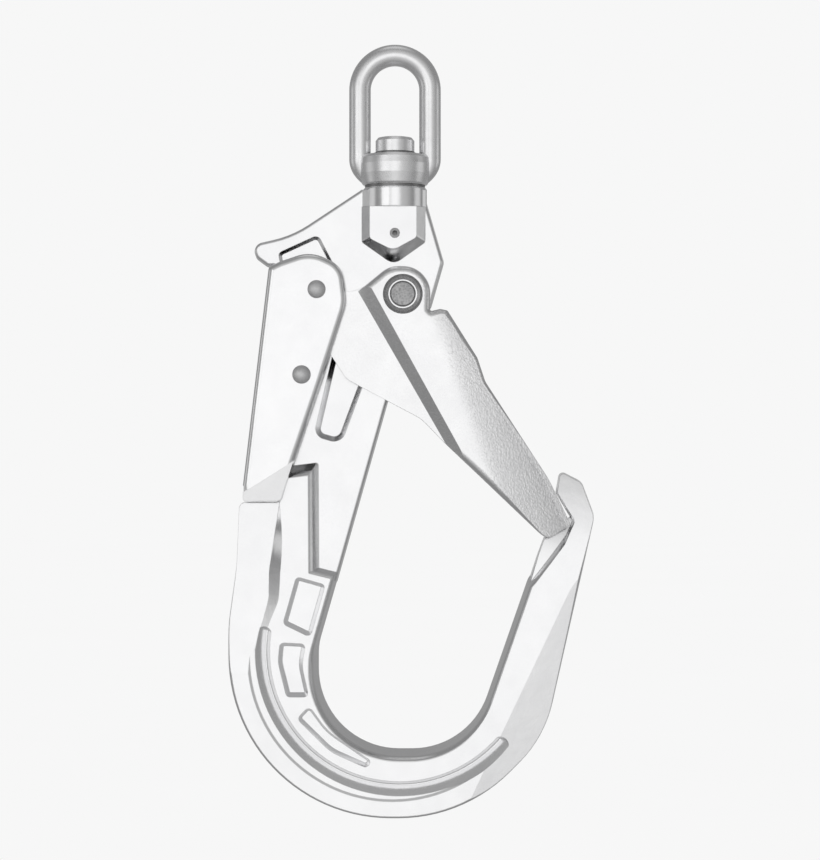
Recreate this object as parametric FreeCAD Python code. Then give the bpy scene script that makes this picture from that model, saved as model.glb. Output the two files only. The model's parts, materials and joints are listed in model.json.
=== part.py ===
import FreeCAD, Part
import math
import os

# Swivel scaffold hook, in millimetres. Z is up along the swivel axis, X runs across the hook
# and Y through its thickness. The origin is the inside crown of the eye.
Vector = FreeCAD.Vector
ALONG_Y = Vector(0, 1, 0)
ALONG_Z = Vector(0, 0, 1)
os.makedirs("parts", exist_ok=True)

# ---------------------------------------------------------------- shared sizes
PLATE = 4.5
THICK = 8.0
DRAFT = 0.12
SHEET = 2.0
WING_OUT = 6.8
CHEEK_OUT = 9.6
LEVER_OUT = 10.2
GATE_PIVOT = (2.6, -75.6)
LEVER_PIVOT = (-30.4, -101.9)
LOCK_PIN = (-25.5, -74.1)
BUSH_R = 4.7
GROOVE_CENTRE = (1.5, -192.5)
GROOVE_START = 173.0
GROOVE_SWEEP = 144.0
GROOVE_END = 5.0
GROOVE_MEAN_R = 45.0
LEDGE_SHIFT = (-2.3, -1.6)
LEDGE_SWEEP = 140.0
COLLAR_TOP = -29.5
COLLAR_FOOT = -39.4
NECK_TOP = -40.2
NECK_R = 10.5
NECK_SIDE = 6.4
SHIELD_TOP = -46.8
HEAD_SEAT = -28.6
STEM_R = 5.0
STEM_FOOT = -60.6
ROLL_PIN_Z = -55.6
GAP = 0.05
COIL_RUNS = 12
FLANGE_FOOT = -200.0
FLANGE_FALL = 3.6
ARM_FALL = 6.0
NOSE_ROLL_R = 200.0
TONGUE_ROLL_R = 90.0


# ---------------------------------------------------------------- shape helpers
def outline(points, y, inset=0.0):
    """Closed wire in the plane Y = y from corners (x, z) or (x, z, corner radius).
    inset moves every side inward, as one number or as one number per side. A radius below zero
    keeps a hollow corner tight while its sides move inward."""
    count = len(points)
    insets = list(inset) if isinstance(inset, (list, tuple)) else [inset] * count
    area = sum(points[i - 1][0] * points[i][1] - points[i][0] * points[i - 1][1] for i in range(count))
    hand = 1.0 if area > 0 else -1.0
    ways = []
    for i in range(count):
        dx = points[(i + 1) % count][0] - points[i][0]
        dz = points[(i + 1) % count][1] - points[i][1]
        length = math.hypot(dx, dz)
        ways.append((dx / length, dz / length))
    corners = []
    for i in range(count):
        before, after = ways[i - 1], ways[i]
        shift_before, shift_after = insets[i - 1], insets[i]
        x, z = points[i][0], points[i][1]
        radius = points[i][2] if len(points[i]) > 2 else 0.0
        turn = before[0] * after[1] - before[1] * after[0]
        ax = x - hand * before[1] * shift_before
        az = z + hand * before[0] * shift_before
        bx = x - hand * after[1] * shift_after
        bz = z + hand * after[0] * shift_after
        along = ((bx - ax) * after[1] - (bz - az) * after[0]) / turn
        x, z = ax + before[0] * along, az + before[1] * along
        if radius:
            mean_shift = 0.5 * (shift_before + shift_after)
            radius = max(0.15, radius - mean_shift * (1.0 if turn * hand > 0 else -1.0))
        corners.append((x, z, radius, turn, before, after))
    ends = []
    for x, z, radius, turn, before, after in corners:
        angle = math.atan2(turn, before[0] * after[0] + before[1] * after[1])
        reach = radius * math.tan(abs(angle) / 2)
        start = Vector(x - before[0] * reach, y, z - before[1] * reach)
        end = Vector(x + after[0] * reach, y, z + after[1] * reach)
        to_centre = Vector(after[0] - before[0], 0, after[1] - before[1]).normalize()
        depth = radius / math.cos(angle / 2) - radius
        ends.append((start, Vector(x, y, z) + to_centre * depth, end, radius))
    edges = []
    for i in range(count):
        start, middle, end, radius = ends[i]
        if radius:
            edges.append(Part.Arc(start, middle, end).toShape())
        following = ends[(i + 1) % count][0]
        if end.distanceToPoint(following) > 1e-4:
            edges.append(Part.LineSegment(end, following).toShape())
    return Part.Wire(edges)


def prism(points, low, high, inset=0.0):
    """Straight solid between the planes Y = low and Y = high."""
    return Part.Face(outline(points, low, inset)).extrude(Vector(0, high - low, 0))


def between(low_points, low, high_points, high, low_inset=0.0, high_inset=0.0):
    """Solid with straight rulings from one outline to another with as many corners."""
    wires = [outline(low_points, low, low_inset), outline(high_points, high, high_inset)]
    return Part.makeLoft(wires, True, True)


def forging(points, half, inset, edge, edge_height):
    """Solid with a parting line at Y = 0, walls that lean in by inset towards both faces, and
    rounded face edges. inset and edge may be one number or one number per side."""
    count = len(points)
    leans = list(inset) if isinstance(inset, (list, tuple)) else [inset] * count
    edges = list(edge) if isinstance(edge, (list, tuple)) else [edge] * count
    levels = [(0.0, 0.0)]
    for angle in (0.0, 25.0, 50.0, 72.0, 90.0):
        turn = math.radians(angle)
        levels.append((half - edge_height * (1.0 - math.sin(turn)), 1.0 - math.cos(turn)))
    wires = []
    for sign in (-1, 1):
        for y, part in levels[::-1] if sign < 0 else levels[1:]:
            shift = [lean * y / half + soft * part for lean, soft in zip(leans, edges)]
            wires.append(outline(points, sign * y, shift))
    return Part.makeLoft(wires, True, True)


def pocket(points, mouth, floor, wall):
    """Cutter for a pocket whose walls lean in by wall from the mouth to the floor."""
    over = wall / (mouth - floor)
    return between(points, floor, points, mouth + 1.0, wall, -over)


def rod(x, z, radius, low, high):
    """Round bar along Y."""
    return Part.makeCylinder(radius, high - low, Vector(x, low, z), ALONG_Y)


def tube(x, z, outer, inner, low, high):
    """Round ring along Y."""
    return rod(x, z, outer, low, high).cut(rod(x, z, inner, low - 1, high + 1))


def turned(profile):
    """Solid of revolution about Z from (radius, z) corners."""
    points = [Vector(r, 0, z) for r, z in profile]
    face = Part.Face(Part.makePolygon(points + [points[0]]))
    return face.revolve(Vector(0, 0, 0), ALONG_Z, 360)


def turned_at(centre, profile):
    """Solid of revolution about a line along Y from (radius, y) corners."""
    x, z = centre
    points = [Vector(x + r, y, z) for r, y in profile]
    face = Part.Face(Part.makePolygon(points + [points[0]]))
    return face.revolve(Vector(x, 0, z), ALONG_Y, 360)


def mirrored(shape):
    """The same shape on the back of the hook."""
    return shape.mirror(Vector(0, 0, 0), ALONG_Y)


def roll_off(line, level, radius, reach, side):
    """Cutter that lets a face at Y = level curve away, starting smoothly at a line (x, z) to (x, z)
    and going towards side, +1 for the right of the line's direction and -1 for its left."""
    (ax, az), (bx, bz) = line
    along = Vector(bx - ax, 0, bz - az)
    length = along.Length
    along = along.normalize()
    across = Vector(-along.z, 0, along.x) * -side
    corners = [Vector(ax, level - 6, az), Vector(ax, level + 8, az)]
    block = Part.Face(Part.makePolygon([corners[0], corners[1], corners[1] + across * reach,
                                        corners[0] + across * reach, corners[0]])).extrude(along * length)
    drum = Part.makeCylinder(radius, length + 2, Vector(ax, level - radius, az) - along, along)
    return block.cut(drum)


def both(shape):
    """A shape and its twin on the back of the hook."""
    return [shape, mirrored(shape)]


def face_edges(shape, level, keep=None):
    """Edges that lie in the planes Y = level and Y = -level."""
    found = []
    for edge in shape.Edges:
        box = edge.BoundBox
        if box.YLength < 1e-3 and abs(abs(box.YMin) - level) < 1e-3:
            if keep is None or keep(box.Center):
                found.append(edge)
    return found


def save(shape, name):
    """Write one piece."""
    shape.exportStep("parts/" + name + ".step")


# ---------------------------------------------------------------- swivel eye
def make_swivel_eye():
    bar_r = 3.55
    bow_r = 8.0 + bar_r
    bow_z = -8.0
    straight_z = -31.0
    foot = Vector(-bow_r, 0, straight_z)
    path = Part.Wire([
        Part.LineSegment(foot, Vector(-bow_r, 0, bow_z)).toShape(),
        Part.Arc(Vector(-bow_r, 0, bow_z), Vector(0, 0, bow_z + bow_r), Vector(bow_r, 0, bow_z)).toShape(),
        Part.LineSegment(Vector(bow_r, 0, bow_z), Vector(bow_r, 0, straight_z)).toShape(),
    ])
    section = Part.Wire(Part.makeCircle(bar_r, foot, ALONG_Z))
    bow = path.makePipeShell([section], True, True)
    collar = turned([(0, COLLAR_FOOT), (10.3, COLLAR_FOOT), (10.9, COLLAR_FOOT + 0.6), (11.6, -35.6),
                     (11.8, -32.5), (11.6, COLLAR_TOP - 0.9), (10.9, COLLAR_TOP), (0, COLLAR_TOP)])
    eye = bow.fuse(collar)
    for side in (-1, 1):
        top = Part.Wire(Part.makeCircle(bar_r, Vector(side * bow_r, 0, straight_z), ALONG_Z))
        waist = Part.Wire(Part.makeCircle(3.1, Vector(side * 11.1, 0, -34.6), ALONG_Z))
        toe = Part.Wire(Part.makeCircle(1.9, Vector(side * 8.6, 0, -38.9), ALONG_Z))
        eye = eye.fuse(Part.makeLoft([top, waist, toe], True))
    bore = Part.makeCylinder(STEM_R + GAP, 20, Vector(0, 0, COLLAR_FOOT - 5), ALONG_Z)
    return eye.cut(bore).removeSplitter()


# ---------------------------------------------------------------- hook body
OUTER = [
    (-11.0, -40.7), (-33.8, -55.8, 35), (-47.2, -58.9, 3), (-45.6, -63.7, 2.5), (-41.9, -66.4, 1.5),
    (-38.6, -66.4, 1.5), (-40.4, -90.0, 60), (-41.0, -104.0, 60), (-38.0, -143.0), (-38.0, -158.0),
    (-30.0, -170.0), (-19.0, -170.0), (-2.2, -110.5, 12), (5.2, -90.5, 8), (12.0, -79.6, 6),
    (16.2, -64.9, 3), (10.7, -46.0), (9.3, -40.7),
]
BULK = [
    (-38.6, -128.0), (-38.6, -143.6, 0.6), (-51.4, -143.6, 2.4), (-52.3, -165.0, 60), (-55.0, -184.0, 60),
    (-55.0, -247.7, 53.5), (23.0, -247.7, 52), (49.5, -221.0, 40), (65.9, -148.5, 7), (61.6, -137.0, 4),
    (54.2, -133.2, 1.6), (52.9, -140.7, 1.8), (58.3, -149.7, 1.2), (56.9, -152.6, 1.2), (43.9, -168.8, 5),
    (24.3, -225.0, 26), (-25.2, -225.0, 26.5), (-25.1, -190.6, 18), (-17.6, -164.5, 0.6),
    (-21.2, -163.6, -5.6), (-21.4, -125.8, 3.0),
]
BULK_INSETS = [
    1.0, 0.3, 0.6, 0.7, 0.7, 0.7, 0.8, 0.8, 0.8, 0.8, 0.5, 0.6, 0.8, 2.0, 1.2, 2.4, 2.1, 1.3, 4.4, 6.6, 7.7,
]
BULK_EDGES = [
    0.3, 0.3, 0.6, 0.7, 0.7, 0.7, 0.8, 0.8, 0.8, 0.8, 0.7, 0.6, 0.6, 0.5, 0.9, 1.2, 1.2, 0.9, 0.5, 0.5, 0.5,
]
TONGUE = [
    (49.9, -153.0, 1.0), (46.9, -161.0, 6), (40.0, -182.0), (52.0, -182.0), (62.0, -152.0), (57.6, -148.6),
]


def make_neck():
    """Round neck and the raised flat-faced shield that holds the stem."""
    neck = turned([(0, -61.4), (5.8, -61.4), (5.8, -58.0), (NECK_R, -50.0), (NECK_R, NECK_TOP - 0.6),
                   (NECK_R - 0.5, NECK_TOP), (0, NECK_TOP)])
    foot = [(-11.2, SHIELD_TOP), (-11.2, -58.5, 1.5), (-0.4, -66.3, 4.0), (10.3, -58.6, 1.5), (10.3, SHIELD_TOP)]
    flat = [(-8.2, SHIELD_TOP), (-8.2, -57.4, 1.5), (-0.6, -61.2, 4.0), (7.1, -57.0, 1.5), (7.1, SHIELD_TOP)]
    shield = between(foot, PLATE - 0.4, flat, THICK + 0.1)
    wide = [(-11.2, -41.2), (-11.2, SHIELD_TOP - 0.5), (10.3, SHIELD_TOP - 0.5), (10.3, -41.2)]
    narrow = [(-8.2, -41.2), (-8.2, SHIELD_TOP - 0.5), (7.9, SHIELD_TOP - 0.5), (7.9, -41.2)]
    shield = shield.fuse(between(wide, PLATE - 0.4, narrow, NECK_SIDE))
    lower = Part.makeBox(40, 2 * THICK + 0.2, 20.0, Vector(-20, -THICK - 0.1, SHIELD_TOP - 20.0))
    neck = neck.common(lower.fuse(Part.makeBox(40, 40, 8, Vector(-20, -20, SHIELD_TOP))))
    return neck.fuse(both(shield))


def make_groove():
    """Channel that follows the bowl: a long outer slope, a narrow floor and a steep inner wall, with
    round ends. A shallow ledge runs along its outer side and fades out towards the nose."""
    x, z = GROOVE_CENTRE

    def swept(middle_x, middle_z, profile, sweep, start):
        section = [Vector(middle_x + radius, y, middle_z) for radius, y in profile]
        face = Part.Face(Part.makePolygon(section + [section[0]]))
        ring = face.revolve(Vector(middle_x, 0, middle_z), Vector(0, -1, 0), sweep)
        ring.rotate(Vector(middle_x, 0, middle_z), Vector(0, -1, 0), start)
        return ring

    profile = [(48.0, 8.4), (47.4, 7.7), (44.0, 5.6), (43.6, 5.6), (42.3, 8.2), (42.3, 10.0), (48.0, 10.0)]
    channel = swept(x, z, profile, GROOVE_SWEEP, GROOVE_START)
    longer = swept(x, z, profile, GROOVE_SWEEP + 2 * GROOVE_END, GROOVE_START - GROOVE_END)
    for degrees in (GROOVE_START, GROOVE_START + GROOVE_SWEEP):
        angle = math.radians(degrees)
        centre = (x + GROOVE_MEAN_R * math.cos(angle), z + GROOVE_MEAN_R * math.sin(angle))
        cone = turned_at(centre, [(0, 5.0), (1.9, 5.0), (3.0, 8.2), (3.0, 10.0), (0, 10.0)])
        channel = channel.fuse(longer.common(cone))
    ledge = [(44.0, 7.6), (46.6, 7.6), (48.0, 8.25), (48.0, 10.0), (44.0, 10.0)]
    return channel.fuse(swept(x + LEDGE_SHIFT[0], z + LEDGE_SHIFT[1], ledge, LEDGE_SWEEP, GROOVE_START))


def make_hook_body():
    plate = forging(OUTER, PLATE, DRAFT * PLATE, 0.8, 0.8)
    bulk = forging(BULK, THICK, BULK_INSETS, BULK_EDGES, 2.0)
    tongue = forging(TONGUE, PLATE, 0.3, 0.3, 0.6)
    for cutter in both(roll_off([(80.0, -179.0), (30.0, -164.0)], PLATE, TONGUE_ROLL_R, 60.0, 1)):
        tongue = tongue.cut(cutter)
    body = bulk.fuse([plate, tongue, make_neck()])

    pockets = [
        pocket([(-38.3, -61.9, 1.6), (-25.2, -55.9, 2.0), (-18.2, -69.5, 2.0), (-36.9, -69.5, 2.0)],
               PLATE, 2.3, 0.9),
        pocket([(-19.5, -91.0, 3), (-26.7, -122.0, 3.5), (-17.6, -124.6, 4.0), (-8.0, -99.0, 3)],
               PLATE, 2.3, 1.6),
        pocket([(-32.2, -167.9, 1.4), (-22.7, -170.6, 1.4), (-27.6, -187.8, 1.6), (-36.6, -183.4, 1.6)],
               THICK, 4.6, 1.2),
        pocket([(-37.6, -189.5, 1.6), (-29.2, -189.9, 1.4), (-30.4, -197.0, 12), (-28.1, -207.3, 1.4),
                (-35.4, -207.3, 1.6), (-38.2, -196.0, 10)], THICK, 4.6, 1.2),
        pocket([(-32.0, -214.4, 1.5), (-28.0, -210.2, 1.6), (-22.0, -218.4, 20), (-7.2, -228.6, 1.3),
                (-9.6, -230.3, 1.3), (-21.0, -225.2, 14)], THICK, 4.6, 0.9),
    ]
    cutters = []
    for cutter in pockets:
        cutters += both(cutter)
    cutters += both(make_groove())

    # The flange beside the spine sinks towards its top, behind a leaning wall that runs into the groove.
    beyond = [(-60.0, -199.8), (-60.0, -140.0)]
    sunk = [(-37.8, -140.0), (-38.0, -144.5), (-41.3, -166.0, 20), (-41.4, -175.4, 12), (-48.3, -199.8)]
    brim = [(-37.6, -140.0), (-37.7, -144.5), (-35.8, -166.0, 20), (-34.6, -176.0, 12), (-40.0, -199.8)]
    flange = between(sunk + beyond, THICK, brim + beyond, THICK + 3.0)
    flange = flange.fuse(prism(brim + beyond, THICK + 3.0, THICK + 9.0))
    flange.rotate(Vector(0, THICK, FLANGE_FOOT), Vector(1, 0, 0), FLANGE_FALL)
    cutters += both(flange)

    # The outer arm falls away from a straight crease that runs from the nose to the end of the
    # groove, and the nose grows thinner towards its tip.
    fall = prism([(69.0, -147.5), (23.1, -244.0), (41.2, -252.6), (87.1, -156.1)], THICK, THICK + 8)
    fall.rotate(Vector(46.2, THICK, -195.4), Vector(-0.429, 0, -0.903), ARM_FALL)
    cutters += both(fall)
    cutters += both(roll_off([(80.0, -181.0), (30.0, -166.0)], THICK, NOSE_ROLL_R, 60.0, 1))

    # The pin slot lets the lock pin swing about the lever pivot.
    px, pz = LEVER_PIVOT
    slot_r = math.hypot(LOCK_PIN[0] - px, LOCK_PIN[1] - pz)
    first = math.degrees(math.atan2(LOCK_PIN[1] - pz, LOCK_PIN[0] - px))
    band = Part.makeCylinder(slot_r + 3.0, 30, Vector(px, -15, pz), ALONG_Y)
    band = band.cut(Part.makeCylinder(slot_r - 3.0, 30, Vector(px, -15, pz), ALONG_Y))
    wedge_points = [(px, pz)]
    for turn in (0.0, 7.0, 14.0):
        angle = math.radians(first + turn)
        wedge_points.append((px + 50 * math.cos(angle), pz + 50 * math.sin(angle)))
    slot = band.common(prism(wedge_points, -15, 15))
    for turn in (0.0, 14.0):
        angle = math.radians(first + turn)
        slot = slot.fuse(rod(px + slot_r * math.cos(angle), pz + slot_r * math.sin(angle), 3.0, -15, 15))
    cutters.append(slot)
    cutters.append(rod(GATE_PIVOT[0], GATE_PIVOT[1], BUSH_R, -15, 15))
    cutters.append(rod(px, pz, 2.6, -15, 15))
    cutters.append(Part.makeCylinder(STEM_R, COLLAR_TOP - STEM_FOOT, Vector(0, 0, STEM_FOOT), ALONG_Z))
    cutters.append(rod(0, ROLL_PIN_Z, 1.6, -15, 15))
    for cutter in cutters:
        body = body.cut(cutter)
    return body.removeSplitter()


# ---------------------------------------------------------------- gate
GATE_TOP = [
    (-1.9, -66.4, 8.5), (11.8, -66.4, 8.8), (11.4, -81.2, 0.7), (14.8, -80.4, 1.4), (17.2, -80.9, 1.0),
]
GATE_BACK = [(27.0, -96.4, 4), (29.6, -104.2, 6), (50.4, -136.2, 30), (57.6, -151.0, 1.4)]
GATE_TOE = [(49.6, -155.9, 3.6)]
GATE_FOOT = [(16.7, -124.6), (8.6, -116.3, 12), (-15.8, -103.4, 6)]
GATE_CAM = [(-20.9, -95.6, 1.0), (-25.0, -85.5, 32), (-22.6, -74.4, 1.5)]
WEB_INNER = [
    (60.0, -60.0), (60.0, -79.0), (14.4, -79.0), (25.0, -97.2, 3), (27.6, -104.9, 5), (48.4, -137.0, 28),
    (58.0, -158.0),
]
NOTCH_R = 88.6
CHEEK_LINE = [(10.3, -78.0), (38.2, -160.0)]
CHEEK_ROLL_R = 62.0
WEB_RIM_SHIFT = 0.5
WEB_RIM_ROLL_R = 92.0


def make_gate():
    """Folded channel: two cheeks, each with a lower wing, and a web on the outer side."""
    wing = GATE_TOP + GATE_BACK + GATE_TOE + GATE_FOOT + GATE_CAM + [(-12.0, -74.9, 12)]
    raised_low = GATE_TOP + GATE_BACK + GATE_TOE + [(16.7, -124.6), (-12.0, -74.7)]
    raised_high = GATE_TOP + GATE_BACK + GATE_TOE + [(24.6, -132.1), (-8.6, -71.9)]
    shell = prism(wing, -WING_OUT, WING_OUT)
    raised = between(raised_low, WING_OUT, raised_high, CHEEK_OUT)
    raised = raised.fuse(prism(raised_low, 0.0, WING_OUT))
    shell = shell.fuse(both(raised))
    bend = [edge for edge in face_edges(shell, CHEEK_OUT, lambda c: c.x > 17.0 and c.z < -82)
            if edge.BoundBox.Center.x > 27 + (-96.4 - edge.BoundBox.Center.z) * 0.62 - 8]
    bend = [edge for edge in bend if edge.BoundBox.Center.z > -149]
    shell = shell.makeFillet(2.2, bend)
    rim = prism(WEB_INNER, 0.0, 2 * CHEEK_OUT)
    rim.translate(Vector(WEB_RIM_SHIFT, 0, 0.5 * WEB_RIM_SHIFT))
    sunk = roll_off(CHEEK_LINE, CHEEK_OUT, CHEEK_ROLL_R, 30.0, -1).cut(rim)
    raised_rim = roll_off(CHEEK_LINE, CHEEK_OUT, WEB_RIM_ROLL_R, 30.0, -1)
    for cutter in both(sunk) + both(raised_rim):
        shell = shell.cut(cutter)

    tall = [(-60.0, -60.0), (-60.0, -170.0), (58.0, -170.0)] + WEB_INNER[::-1]
    cavity = prism(tall, -WING_OUT + SHEET, WING_OUT - SHEET)
    slope_low = [(-19.4, -60.0), (24.4, -140.0), (58.0, -170.0)] + WEB_INNER[::-1]
    slope_high = [(-15.3, -60.0), (28.9, -140.0), (58.0, -170.0)] + WEB_INNER[::-1]
    room = between(slope_low, WING_OUT - SHEET - 0.01, slope_high, CHEEK_OUT - SHEET)
    room = room.cut(roll_off(CHEEK_LINE, CHEEK_OUT - SHEET, CHEEK_ROLL_R - SHEET, 60.0, -1))
    notch = Part.makeBox(60, 11.0, 60, Vector(20, -5.5, -200))
    swing = rod(GATE_PIVOT[0], GATE_PIVOT[1], NOTCH_R, -20, 20)
    shell = shell.cut(cavity)
    for cutter in both(room):
        shell = shell.cut(cutter)
    shell = shell.cut(notch.cut(swing))
    shell = shell.cut(rod(GATE_PIVOT[0], GATE_PIVOT[1], BUSH_R + GAP, -20, 20))
    return shell.removeSplitter()


# ---------------------------------------------------------------- lock lever
LEVER = [
    (-41.2, -66.8, 1.6), (-49.6, -137.9, 0.8), (-49.4, -143.5, 1.0), (-37.0, -143.2, 1.2), (-35.9, -139.4, 6),
    (-33.0, -130.8, 12), (-24.4, -105.6, 60), (-15.6, -78.5, 14), (-17.2, -66.4, 8), (-27.5, -61.6, 12),
    (-37.6, -65.0, 5),
]
FLARE_LINE = [(-32.6, -130.0), (-51.6, -141.8)]
FLARE_ANGLE = 8.0


def make_lock_lever():
    """Folded channel with its web on the outer side and a flared lower corner on each cheek."""
    shell = prism(LEVER, -LEVER_OUT, LEVER_OUT)
    back = face_edges(shell, LEVER_OUT, lambda c: c.x < -43 and -130 < c.z < -75)
    shell = shell.makeFillet(2.0, back)
    inside = LEVER_OUT - SHEET
    cavity = prism([(-39.0, -55.0), (-39.2, -68.0), (-47.5, -138.4), (-47.5, -160.0), (0.0, -160.0),
                    (0.0, -55.0)], -inside, inside)
    shell = shell.cut(cavity)
    head_room = Part.makeBox(20, 2 * inside, 12, Vector(-48, -inside, -67.6))
    foot_room = Part.makeBox(20, 30, 12, Vector(-69.3, -15, -150.2))
    foot_room = foot_room.fuse(Part.makeBox(20, 2 * inside, 12, Vector(-60, -inside, -150.2)))
    shell = shell.cut(head_room).cut(foot_room)

    (ax, az), (bx, bz) = FLARE_LINE
    corner = prism([(ax, az), (bx, bz), (bx, bz - 14), (ax, az - 26)], -20, 20)
    flap = prism(LEVER, inside, LEVER_OUT).common(corner)
    flap = flap.cut(Part.makeBox(20, 30, 12, Vector(-69.4, -15, -150.2)))
    flap.rotate(Vector(ax, inside, az), Vector(bx - ax, 0, bz - az), -FLARE_ANGLE)
    shell = shell.cut(corner.common(Part.makeBox(60, 40, 40, Vector(-60, -20, -160))))
    shell = shell.fuse(both(flap))
    shell = shell.cut(rod(LEVER_PIVOT[0], LEVER_PIVOT[1], 2.6 + GAP, -20, 20))
    shell = shell.cut(rod(LOCK_PIN[0], LOCK_PIN[1], 2.5, -20, 20))
    return shell.removeSplitter()


# ---------------------------------------------------------------- pins, rings and springs
def domed_rivet(centre, shank_r, head_r, seat, height):
    """Rivet along Y with a low domed head on each side."""
    rise = height * 0.72
    ball_r = (head_r * head_r + rise * rise) / (2 * rise)
    base = seat + height - rise
    dome = Part.makeSphere(ball_r, Vector(centre[0], base + rise - ball_r, centre[1]))
    head = rod(centre[0], centre[1], head_r, seat, base)
    head = head.fuse(dome.common(rod(centre[0], centre[1], head_r, base - 0.01, base + rise + 1)))
    shank = rod(centre[0], centre[1], shank_r, -seat, seat)
    return shank.fuse(both(head)).removeSplitter()


def smooth_route(points):
    """Wire through points as straight runs joined by tangent arcs."""
    edges = []
    last = points[0]
    for before, point, after in zip(points, points[1:], points[2:]):
        arrive = (point - before).normalize()
        leave = (after - point).normalize()
        half_turn = arrive.getAngle(leave) / 2
        cut = 0.45 * min((point - before).Length, (after - point).Length)
        radius = cut / math.tan(half_turn)
        inward = (leave - arrive).normalize()
        start = point - arrive * cut
        middle = point + inward * (radius / math.cos(half_turn) - radius)
        finish = point + leave * cut
        edges.append(Part.LineSegment(last, start).toShape())
        edges.append(Part.Arc(start, middle, finish).toShape())
        last = finish
    edges.append(Part.LineSegment(last, points[-1]).toShape())
    return Part.Wire(edges)


def coil(centre, mean_r, wire_r, low, turns, first, legs):
    """Torsion spring about a line along Y, with a straight leg leaving each end."""
    pitch = 2 * wire_r + 0.06
    step = 2 * math.pi / COIL_RUNS
    corner_r = mean_r / math.cos(step / 2)
    last = round(turns * COIL_RUNS)

    def corner(i):
        angle = math.radians(first) + step * i
        return Vector(centre[0] + corner_r * math.cos(angle), low + wire_r + pitch * i / COIL_RUNS,
                      centre[1] + corner_r * math.sin(angle))

    def heading(i):
        angle = math.radians(first) + step * i
        return Vector(-math.sin(angle), 0, math.cos(angle))

    route = [corner(0) - heading(0) * legs[0]]
    route += [corner(i) for i in range(last + 1)]
    route.append(corner(last) + heading(last) * legs[1])
    section = Part.Wire(Part.makeCircle(wire_r, route[0], heading(0)))
    return smooth_route(route).makePipeShell([section], True, False)


def ring_at(centre, outer, inner, low, high):
    """Flat washer along Y."""
    return tube(centre[0], centre[1], outer, inner, low, high)


save(make_swivel_eye(), "swivel_eye")
save(make_hook_body(), "hook_body")
save(make_gate(), "gate")
save(make_lock_lever(), "lock_lever")

stem_r = STEM_R - GAP / 5
stem = turned([(0, STEM_FOOT + 0.2), (STEM_R - 0.6, STEM_FOOT + 0.2), (stem_r, STEM_FOOT + 0.8),
               (stem_r, HEAD_SEAT), (6.1, HEAD_SEAT), (6.4, HEAD_SEAT + 0.3), (6.4, -24.7), (5.6, -23.7),
               (4.6, -23.5), (0, -23.5)])
stem = stem.cut(rod(0, ROLL_PIN_Z, 1.6, -15, 15))
save(stem, "swivel_stem")
washer_r = STEM_R + GAP
save(turned([(washer_r, COLLAR_TOP + 0.02), (6.9, COLLAR_TOP + 0.02), (6.9, HEAD_SEAT - 0.02),
             (washer_r, HEAD_SEAT - 0.02)]), "swivel_head_washer")
save(turned([(washer_r, NECK_TOP + 0.02), (9.9, NECK_TOP + 0.02), (9.9, COLLAR_FOOT - 0.04),
             (washer_r, COLLAR_FOOT - 0.04)]), "swivel_thrust_washer")
roll_pin = rod(0, ROLL_PIN_Z, 1.59, 0.4 - THICK, THICK - 0.4)
roll_pin = roll_pin.cut(both(rod(0, ROLL_PIN_Z, 0.85, 2.0, THICK)))
save(roll_pin, "stem_roll_pin")

save(ring_at(GATE_PIVOT, BUSH_R - 0.01, 4.25, -10.1, 10.1), "gate_pivot_bush")
gate_pin = turned_at(GATE_PIVOT, [(0, -10.5), (3.7, -10.5), (4.24, -10.0), (4.24, 10.0), (3.7, 10.5),
                                  (0, 10.5)])
save(gate_pin, "gate_pivot_pin")
dished = turned_at(GATE_PIVOT, [(BUSH_R + GAP, CHEEK_OUT + 0.02), (6.5, CHEEK_OUT + 0.02), (6.5, CHEEK_OUT + 0.35),
                                (5.7, CHEEK_OUT + 0.85), (BUSH_R + GAP, CHEEK_OUT + 0.45)])
save(mirrored(dished), "gate_washer_front")
save(dished, "gate_washer_back")
gate_spring = coil(GATE_PIVOT, 5.5, 0.5, PLATE + 0.1, 1.75, -60.0, (6.0, 12.0))
save(mirrored(gate_spring), "gate_spring_front")
save(gate_spring, "gate_spring_back")

save(ring_at(LEVER_PIVOT, 2.6 - 0.01, 2.02, -LEVER_OUT - 0.1, LEVER_OUT + 0.1), "lever_pivot_bush")
save(domed_rivet(LEVER_PIVOT, 2.0, 3.0, LEVER_OUT + 0.12, 1.5), "lever_pivot_rivet")
save(domed_rivet(LOCK_PIN, 2.49, 2.95, LEVER_OUT + 0.02, 1.4), "lock_pin")
lever_spring = coil(LEVER_PIVOT, 3.75, 0.5, PLATE + 0.08, 1.9, 150.0, (7.0, 8.0))
save(mirrored(lever_spring), "lever_spring_front")
save(lever_spring, "lever_spring_back")
shim = ring_at(LEVER_PIVOT, 4.6, 2.6 + GAP, LEVER_OUT - SHEET - 0.55, LEVER_OUT - SHEET - 0.05)
save(mirrored(shim), "lever_shim_front")
save(shim, "lever_shim_back")
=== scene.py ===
import json
import math

import bpy
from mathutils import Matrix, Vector

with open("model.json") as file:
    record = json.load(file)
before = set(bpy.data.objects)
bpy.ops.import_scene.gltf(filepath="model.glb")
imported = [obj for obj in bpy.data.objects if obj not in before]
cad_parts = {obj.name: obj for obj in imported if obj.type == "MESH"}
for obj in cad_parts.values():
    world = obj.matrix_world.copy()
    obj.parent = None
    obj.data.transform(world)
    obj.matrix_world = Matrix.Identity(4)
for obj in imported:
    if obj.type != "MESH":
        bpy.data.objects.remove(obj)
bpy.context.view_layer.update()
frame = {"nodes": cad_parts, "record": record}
nodes = frame["nodes"]


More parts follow.
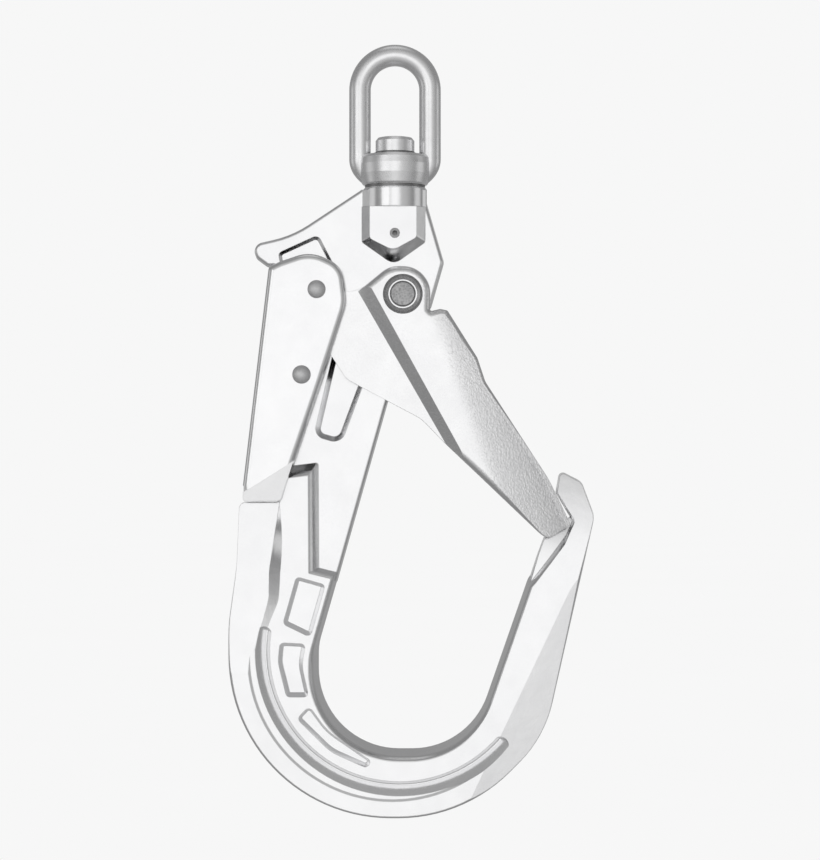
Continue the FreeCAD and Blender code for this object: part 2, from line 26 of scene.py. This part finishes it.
# ---------------------------------------------------------------- node tree helpers
class Graph:
    """Short names for building a node tree from nothing."""

    def __init__(self, tree):
        self.tree = tree
        tree.nodes.clear()

    def node(self, kind, **settings):
        made = self.tree.nodes.new(kind)
        for key, value in settings.items():
            setattr(made, key, value)
        return made

    def link(self, source, target):
        self.tree.links.new(source, target)

    def remap(self, value, low, high, new_low, new_high):
        """Value eased from one range to another, and held at its ends."""
        made = self.node("ShaderNodeMapRange", interpolation_type="SMOOTHSTEP")
        made.inputs["From Min"].default_value = low
        made.inputs["From Max"].default_value = high
        made.inputs["To Min"].default_value = new_low
        made.inputs["To Max"].default_value = new_high
        self.link(value, made.inputs["Value"])
        return made.outputs["Result"]

    def math(self, operation, *values):
        """One math node on links or plain numbers."""
        made = self.node("ShaderNodeMath", operation=operation)
        for socket, value in zip(made.inputs, values):
            if isinstance(value, float):
                socket.default_value = value
            else:
                self.link(value, socket)
        return made.outputs["Value"]


class MetalGraph(Graph):
    """A new material with one Principled shader, marked on the object's own coordinates."""

    def __init__(self, name):
        self.material = bpy.data.materials.new(name)
        self.material.use_nodes = True
        super().__init__(self.material.node_tree)
        self.shader = self.node("ShaderNodeBsdfPrincipled")
        self.place = self.node("ShaderNodeTexCoord").outputs["Object"]
        output = self.node("ShaderNodeOutputMaterial")
        self.link(self.shader.outputs["BSDF"], output.inputs["Surface"])

    def stretched(self, stretch, turn):
        """Object coordinates scaled by axis and turned by degrees about Y, for directional marks."""
        mapping = self.node("ShaderNodeMapping")
        mapping.inputs["Scale"].default_value = stretch
        mapping.inputs["Rotation"].default_value = (0.0, math.radians(turn), 0.0)
        self.link(self.place, mapping.inputs["Vector"])
        return mapping.outputs["Vector"]

    def noise(self, scale, detail, roughness=0.55, vector=None):
        made = self.node("ShaderNodeTexNoise")
        made.inputs["Scale"].default_value = scale
        made.inputs["Detail"].default_value = detail
        made.inputs["Roughness"].default_value = roughness
        self.link(vector or self.place, made.inputs["Vector"])
        return made.outputs["Fac"]

    def along(self, direction):
        """Distance along a direction from the object's origin."""
        made = self.node("ShaderNodeVectorMath", operation="DOT_PRODUCT")
        made.inputs[1].default_value = direction
        self.link(self.place, made.inputs[0])
        return made.outputs["Value"]

    def blend(self, first, second, share):
        """Sum of two values, with share of the first and the rest of the second."""
        return self.math("ADD", self.math("MULTIPLY", first, share),
                         self.math("MULTIPLY", second, 1.0 - share))

    def mix(self, factor, first, second):
        """Colour between two colours."""
        made = self.node("ShaderNodeMix", data_type="RGBA")
        self.link(factor, made.inputs["Factor"])
        made.inputs["A"].default_value = (*first, 1.0)
        made.inputs["B"].default_value = (*second, 1.0)
        return made.outputs["Result"]

    def bump(self, layers, round_edges):
        """Stack of (height, distance in metres) over an optional rounded edge normal."""
        normal = None
        if round_edges:
            bevel = self.node("ShaderNodeBevel", samples=4)
            bevel.inputs["Radius"].default_value = round_edges
            normal = bevel.outputs["Normal"]
        for height, distance in layers:
            made = self.node("ShaderNodeBump")
            made.inputs["Distance"].default_value = distance
            made.inputs["Strength"].default_value = 1.0
            self.link(height, made.inputs["Height"])
            if normal:
                self.link(normal, made.inputs["Normal"])
            normal = made.outputs["Normal"]
        self.link(normal, self.shader.inputs["Normal"])


# ---------------------------------------------------------------- metals
# Noise scales count features to the metre.
CLOUD_SCALE = 70.0
PATCH_SCALE = 160.0
DENT_SCALE = 230.0
DRAWN_SCALE = 900.0
CLOUD_SHARE = 0.35
PATCH_SHARE = 0.4
TONE_SPAN = (0.36, 0.62)
POLISH_SPAN = (0.35, 0.65)
FAINT_GRAIN = 0.1
# The dark and light ends of the tone lean this much towards blue.
DARK_BLUE = 1.01
LIGHT_BLUE = 1.005


def metal(name, tone, rough, grain, dents=0.0, drawn=None, round_edges=0.0, fade=None):
    """Bare or plated metal with a clouded tone and roughness, fine grain and faint dents. tone and rough
    hold the two ends of each, and grain its scale and depth. drawn adds lines along one direction, as a
    stretch by axis, a turn and a depth. fade is a direction with the two distances between which the
    grain grows from faint to full. Depths and the radius of round_edges are in metres."""
    graph = MetalGraph(name)
    dark, light = tone
    grain_scale, grain_depth = grain
    fine = graph.noise(grain_scale, 3.0, 0.6)
    clouds = graph.blend(graph.noise(CLOUD_SCALE, 5.0), fine, CLOUD_SHARE)
    shades = (dark, dark, dark * DARK_BLUE), (light, light, light * LIGHT_BLUE)
    colour = graph.mix(graph.remap(clouds, *TONE_SPAN, 0.0, 1.0), *shades)
    graph.link(colour, graph.shader.inputs["Base Color"])
    graph.shader.inputs["Metallic"].default_value = 1.0
    polish = graph.blend(graph.noise(PATCH_SCALE, 4.0), fine, PATCH_SHARE)
    graph.link(graph.remap(polish, *POLISH_SPAN, *rough), graph.shader.inputs["Roughness"])
    height = fine
    if fade:
        direction, start, end = fade
        growth = graph.remap(graph.along(direction), start, end, FAINT_GRAIN, 1.0)
        height = graph.math("MULTIPLY", fine, growth)
    layers = [(height, grain_depth)]
    if dents:
        layers.append((graph.noise(DENT_SCALE, 3.0), dents))
    if drawn:
        stretch, turn, depth = drawn
        lines = graph.noise(DRAWN_SCALE, 2.0, 0.5, graph.stretched(stretch, turn))
        layers.append((lines, depth))
    graph.bump(layers, round_edges)
    return graph.material


# The gate's grain grows along this direction, to the right and a little upwards.
GATE_ACROSS = (0.947, 0.0, 0.322)
GATE_FADE = (GATE_ACROSS, -0.0185, -0.0100)

MATERIALS = {
    "forged_aluminium": metal("forged aluminium", (0.86, 0.91), (0.15, 0.22), (2600.0, 0.000005),
                              dents=0.00003, round_edges=0.0003),
    "polished_steel": metal("polished steel", (0.92, 0.97), (0.26, 0.36), (3200.0, 0.000004),
                            dents=0.00008),
    "gate_steel": metal("grainy plated steel", (0.86, 0.93), (0.17, 0.26), (1500.0, 0.00024),
                        dents=0.00001, drawn=((1.0, 1.0, 0.15), 30.0, 0.000010), round_edges=0.0002,
                        fade=GATE_FADE),
    "lever_steel": metal("smooth plated steel", (0.88, 0.93), (0.15, 0.22), (3000.0, 0.000006),
                         dents=0.00002, drawn=((1.0, 1.0, 0.10), 6.0, 0.000008), round_edges=0.0002),
    "pivot_pin_steel": metal("riveted pin end", (0.28, 0.58), (0.28, 0.50), (1500.0, 0.00010),
                             dents=0.00006),
    "rivet_steel": metal("rivet steel", (0.60, 0.74), (0.40, 0.50), (2200.0, 0.00003), dents=0.00006),
    "bush_steel": metal("turned bush steel", (0.80, 0.90), (0.12, 0.22), (2600.0, 0.000006)),
    "ring_steel": metal("pressed ring steel", (0.34, 0.50), (0.24, 0.38), (2400.0, 0.00002),
                        dents=0.00003),
    "washer_steel": metal("washer steel", (0.22, 0.34), (0.28, 0.42), (2400.0, 0.00001)),
    "spring_steel": metal("spring wire", (0.26, 0.42), (0.22, 0.36), (2400.0, 0.00001)),
}
for entry in frame["record"]["subparts"]:
    data = nodes[entry["node"]].data
    data.materials.clear()
    data.materials.append(MATERIALS[entry["material_slot"]])


# ---------------------------------------------------------------- floor, world, lights, camera
BACKGROUND = 0.93
FLOOR_HEIGHT = -0.42
FLOOR_RADIUS = 6.0
FLOOR_GRAIN = 40.0
FLOOR_GLOW = (0.925, 0.935)
# Each panel: where its edge starts and ends on the unit direction, and its brightness outside and inside.
FRONT_ROOM = (0.30, 0.92, 0.32, 0.66)
FRONT_PANEL = (0.90, 0.995, 0.0, 0.69)
BACK_ROOM = (0.45, 0.96, 0.0, 0.10)
BACK_PANEL = (0.97, 0.999, 0.0, 0.85)
SIDE_PANEL = (0.94, 0.99, 0.0, 0.50)
TOP_PANEL = (0.92, 0.985, 0.0, 0.45)
MIDDLE = (0.005, 0.0, -0.12)
LAMP_PLACE = (-0.9, -1.3, 0.1)
LAMP_SIDE = 0.8
LAMP_POWER = 1.2
CAMERA_DISTANCE = 0.8
CAMERA_X = 0.00495
CAMERA_Z = -0.12
FRAME_HEIGHT = 0.2838


def make_floor():
    """Pale floor well below the hook, left out of reflections and bounced light."""
    bpy.ops.mesh.primitive_circle_add(vertices=96, radius=FLOOR_RADIUS, fill_type="NGON",
                                      location=(0.0, 0.0, FLOOR_HEIGHT))
    floor = bpy.context.object
    floor.name = "floor"
    material = bpy.data.materials.new("pale floor")
    material.use_nodes = True
    tree = material.node_tree
    shader = tree.nodes["Principled BSDF"]
    grain = tree.nodes.new("ShaderNodeTexNoise")
    grain.inputs["Scale"].default_value = FLOOR_GRAIN
    ramp = tree.nodes.new("ShaderNodeMapRange")
    ramp.inputs["To Min"].default_value, ramp.inputs["To Max"].default_value = FLOOR_GLOW
    tree.links.new(grain.outputs["Fac"], ramp.inputs["Value"])
    tree.links.new(ramp.outputs["Result"], shader.inputs["Emission Strength"])
    shader.inputs["Emission Color"].default_value = (1.0, 1.0, 1.0, 1.0)
    shader.inputs["Base Color"].default_value = (0.0, 0.0, 0.0, 1.0)
    shader.inputs["Roughness"].default_value = 1.0
    shader.inputs["Specular IOR Level"].default_value = 0.0
    floor.data.materials.append(material)
    floor.visible_glossy = False
    floor.visible_diffuse = False


def make_world():
    """Room that is grey in front of the hook and nearly black behind it. It has a large soft panel in
    front, a small one behind, and a narrow one far out on each side and overhead. Flat faces read
    white, walls grey and round edges lined. The camera sees a plain pale backdrop instead."""
    world = bpy.data.worlds.new("studio")
    bpy.context.scene.world = world
    world.use_nodes = True
    graph = Graph(world.node_tree)
    way = graph.node("ShaderNodeSeparateXYZ")
    graph.link(graph.node("ShaderNodeTexCoord").outputs["Generated"], way.inputs["Vector"])
    behind = way.outputs["Y"]
    ahead = graph.math("MULTIPLY", behind, -1.0)
    sideways = graph.math("ABSOLUTE", way.outputs["X"])
    overhead = way.outputs["Z"]
    light = graph.remap(ahead, *FRONT_ROOM)
    panels = ((ahead, FRONT_PANEL), (behind, BACK_ROOM), (behind, BACK_PANEL), (sideways, SIDE_PANEL),
              (overhead, TOP_PANEL))
    for source, panel in panels:
        light = graph.math("ADD", light, graph.remap(source, *panel))
    lit = graph.node("ShaderNodeBackground")
    graph.link(light, lit.inputs["Strength"])
    seen = graph.node("ShaderNodeBackground")
    seen.inputs["Color"].default_value = (BACKGROUND, BACKGROUND, BACKGROUND, 1.0)
    chooser = graph.node("ShaderNodeMixShader")
    graph.link(graph.node("ShaderNodeLightPath").outputs["Is Camera Ray"], chooser.inputs["Fac"])
    graph.link(lit.outputs["Background"], chooser.inputs[1])
    graph.link(seen.outputs["Background"], chooser.inputs[2])
    graph.link(chooser.outputs["Shader"], graph.node("ShaderNodeOutputWorld").inputs["Surface"])


def make_lamp():
    """Soft square lamp in front and to the left, pointed at the middle of the hook."""
    data = bpy.data.lights.new("front soft box", "AREA")
    data.shape = "RECTANGLE"
    data.size = LAMP_SIDE
    data.size_y = LAMP_SIDE
    data.energy = LAMP_POWER
    lamp = bpy.data.objects.new("front soft box", data)
    lamp.location = LAMP_PLACE
    lamp.rotation_euler = (Vector(MIDDLE) - Vector(LAMP_PLACE)).to_track_quat("-Z", "Y").to_euler()
    bpy.context.scene.collection.objects.link(lamp)


def make_camera():
    """Square on to the hook's front, with a lens that takes in FRAME_HEIGHT at its distance."""
    data = bpy.data.cameras.new("camera")
    data.sensor_width = 36.0
    data.lens = data.sensor_width * CAMERA_DISTANCE / FRAME_HEIGHT
    data.clip_start = 0.01
    camera = bpy.data.objects.new("camera", data)
    camera.location = (CAMERA_X, -CAMERA_DISTANCE, CAMERA_Z)
    camera.rotation_euler = (math.radians(90.0), 0.0, 0.0)
    bpy.context.scene.collection.objects.link(camera)
    bpy.context.scene.camera = camera


make_floor()
make_world()
make_lamp()
make_camera()
bpy.context.scene.view_settings.view_transform = "Standard"
